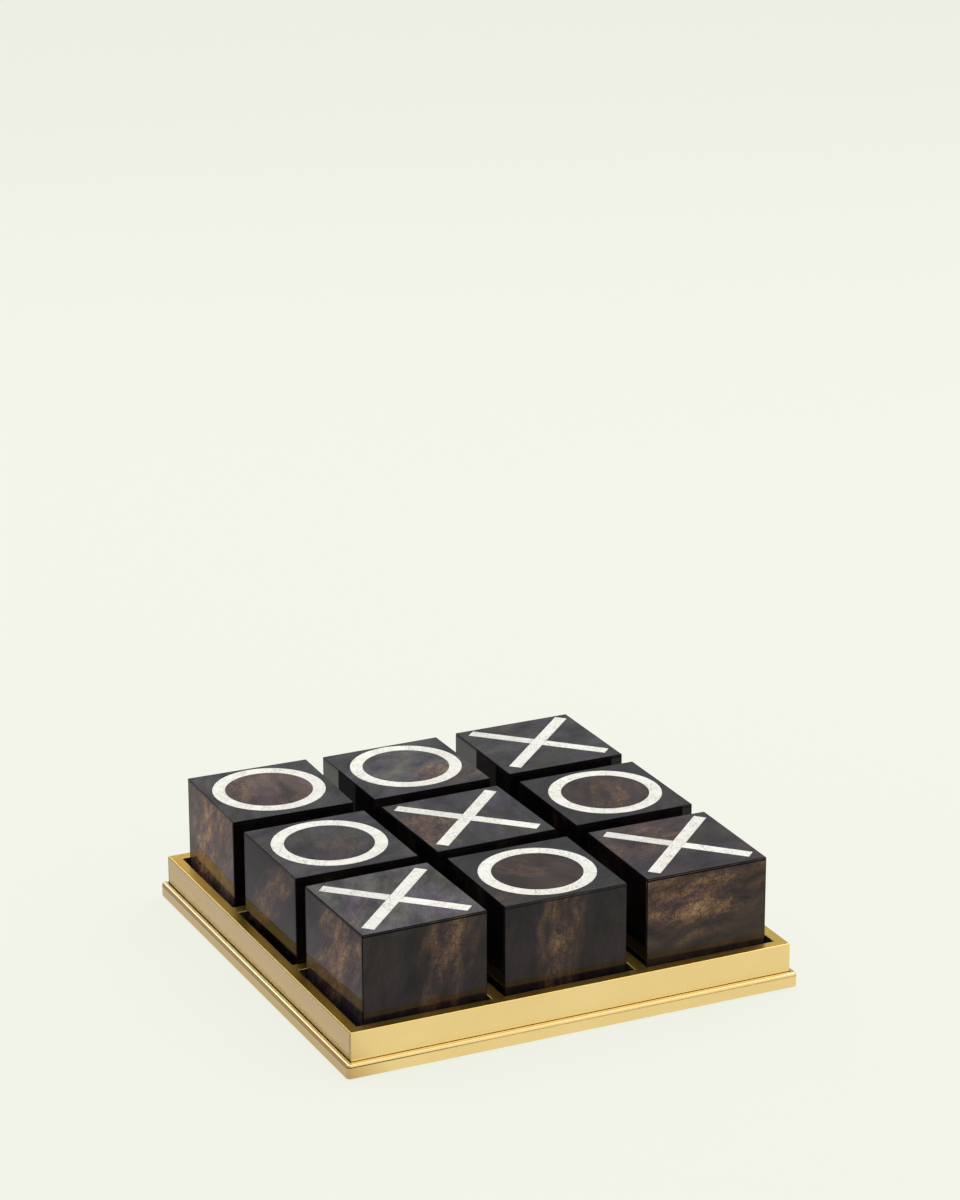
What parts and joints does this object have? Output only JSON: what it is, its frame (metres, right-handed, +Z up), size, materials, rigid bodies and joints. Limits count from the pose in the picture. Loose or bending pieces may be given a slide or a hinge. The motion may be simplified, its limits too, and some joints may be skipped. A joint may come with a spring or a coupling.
{
  "type": "tic tac toe set",
  "caption": "Tic tac toe set: square brass-clad tray with recessed wells holding dark veneered blocks inlaid with pale crosses and rings, each lifting out of its well.",
  "frame": {"origin": "middle of the underside felt's lower face, where the tray stands on a table", "axes": "+Z up; +X to the right along the front edge; +Y from the front edge to the back edge"},
  "size_m": [0.254, 0.254, 0.0702],
  "materials": {
    "brushed_brass": "satin",
    "tray_wood": "matte",
    "block_wood": "matte",
    "dark_veneer": "gloss",
    "pale_inlay": "gloss",
    "black_felt": "matte",
    "zinc_screw": "satin"
  },
  "bodies": {
    "tray": {"base_board": "tray_wood", "cross_divider_1": "tray_wood", "cross_divider_2": "tray_wood", "flange_screws": "zinc_screw", "frame_rail_back": "tray_wood", "frame_rail_front": "tray_wood", "frame_rail_left": "tray_wood", "frame_rail_right": "tray_wood", "long_divider_1": "tray_wood", "long_divider_2": "tray_wood", "plinth_moulding_back": "brushed_brass", "plinth_moulding_front": "brushed_brass", "plinth_moulding_left": "brushed_brass", "plinth_moulding_right": "brushed_brass", "side_plate_back": "brushed_brass", "side_plate_front": "brushed_brass", "side_plate_left": "brushed_brass", "side_plate_right": "brushed_brass", "top_plate": "brushed_brass", "underside_felt": "black_felt", "well_liners": "black_felt"},
    "block_front_left": {"front_left_core": "block_wood", "front_left_cross_inlay": "pale_inlay", "front_left_side_panels": "dark_veneer", "front_left_top_panel": "dark_veneer"},
    "block_front_centre": {"front_centre_core": "block_wood", "front_centre_ring_inlay": "pale_inlay", "front_centre_side_panels": "dark_veneer", "front_centre_top_panel": "dark_veneer"},
    "block_front_right": {"front_right_core": "block_wood", "front_right_cross_inlay": "pale_inlay", "front_right_side_panels": "dark_veneer", "front_right_top_panel": "dark_veneer"},
    "block_middle_left": {"middle_left_core": "block_wood", "middle_left_ring_inlay": "pale_inlay", "middle_left_side_panels": "dark_veneer", "middle_left_top_panel": "dark_veneer"},
    "block_centre": {"centre_core": "block_wood", "centre_cross_inlay": "pale_inlay", "centre_side_panels": "dark_veneer", "centre_top_panel": "dark_veneer"},
    "block_middle_right": {"middle_right_core": "block_wood", "middle_right_ring_inlay": "pale_inlay", "middle_right_side_panels": "dark_veneer", "middle_right_top_panel": "dark_veneer"},
    "block_back_left": {"back_left_core": "block_wood", "back_left_ring_inlay": "pale_inlay", "back_left_side_panels": "dark_veneer", "back_left_top_panel": "dark_veneer"},
    "block_back_centre": {"back_centre_core": "block_wood", "back_centre_ring_inlay": "pale_inlay", "back_centre_side_panels": "dark_veneer", "back_centre_top_panel": "dark_veneer"},
    "block_back_right": {"back_right_core": "block_wood", "back_right_cross_inlay": "pale_inlay", "back_right_side_panels": "dark_veneer", "back_right_top_panel": "dark_veneer"}
  },
  "joints": [
    {"name": "lift_front_left", "type": "slide", "parent": "tray", "child": "block_front_left", "axis": [0, 0, 1], "range_m": [0, 0.08]},
    {"name": "lift_front_centre", "type": "slide", "parent": "tray", "child": "block_front_centre", "axis": [0, 0, 1], "range_m": [0, 0.08]},
    {"name": "lift_front_right", "type": "slide", "parent": "tray", "child": "block_front_right", "axis": [0, 0, 1], "range_m": [0, 0.08]},
    {"name": "lift_middle_left", "type": "slide", "parent": "tray", "child": "block_middle_left", "axis": [0, 0, 1], "range_m": [0, 0.08]},
    {"name": "lift_centre", "type": "slide", "parent": "tray", "child": "block_centre", "axis": [0, 0, 1], "range_m": [0, 0.08]},
    {"name": "lift_middle_right", "type": "slide", "parent": "tray", "child": "block_middle_right", "axis": [0, 0, 1], "range_m": [0, 0.08]},
    {"name": "lift_back_left", "type": "slide", "parent": "tray", "child": "block_back_left", "axis": [0, 0, 1], "range_m": [0, 0.08]},
    {"name": "lift_back_centre", "type": "slide", "parent": "tray", "child": "block_back_centre", "axis": [0, 0, 1], "range_m": [0, 0.08]},
    {"name": "lift_back_right", "type": "slide", "parent": "tray", "child": "block_back_right", "axis": [0, 0, 1], "range_m": [0, 0.08]}
  ]
}
